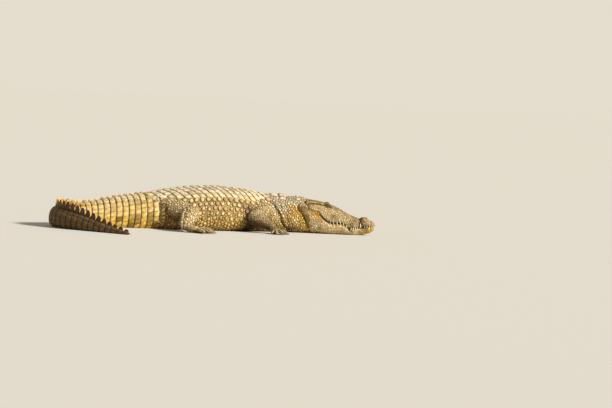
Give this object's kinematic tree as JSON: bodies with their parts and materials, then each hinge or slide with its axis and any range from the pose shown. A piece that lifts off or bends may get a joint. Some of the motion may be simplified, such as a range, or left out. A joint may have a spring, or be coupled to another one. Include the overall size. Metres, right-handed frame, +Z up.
{
  "type": "nile crocodile",
  "caption": "Life-size crocodile resting on its belly, head straight on, legs bent at its sides and tail curled round to its right.",
  "frame": {"origin": "on the floor under the middle of the belly", "axes": "+X the way the head points, +Y the animal's left, +Z up"},
  "size_m": [3.0362, 1.9905, 0.4158],
  "materials": {
    "hide": "dry scaly hide, matt, yellow-tan with grey-brown and dark grooves",
    "head_hide": "dry close-fitting head skin, matt, with ivory teeth joined to the jaws",
    "eye": "wet gloss, olive-gold iris with an upright slit pupil",
    "claw": "worn dark horn, satin"
  },
  "bodies": {
    "root": {"head": "head_hide", "lower_jaw": "head_hide", "neck": "hide", "trunk_front": "hide", "trunk_rear": "hide", "tail_base": "hide", "tail_middle": "hide", "tail_bend": "hide", "tail_rear": "hide", "tail_end": "hide", "eye_right": "eye", "upper_arm_right": "hide", "forearm_right": "hide", "hand_right": "hide", "hand_claw_right_1": "claw", "hand_claw_right_2": "claw", "hand_claw_right_3": "claw", "thigh_right": "hide", "shank_right": "hide", "foot_right": "hide", "foot_claw_right_1": "claw", "foot_claw_right_2": "claw", "foot_claw_right_3": "claw", "eye_left": "eye", "upper_arm_left": "hide", "forearm_left": "hide", "hand_left": "hide", "hand_claw_left_1": "claw", "hand_claw_left_2": "claw", "hand_claw_left_3": "claw", "thigh_left": "hide", "shank_left": "hide", "foot_left": "hide", "foot_claw_left_1": "claw", "foot_claw_left_2": "claw", "foot_claw_left_3": "claw"}
  },
  "joints": []
}
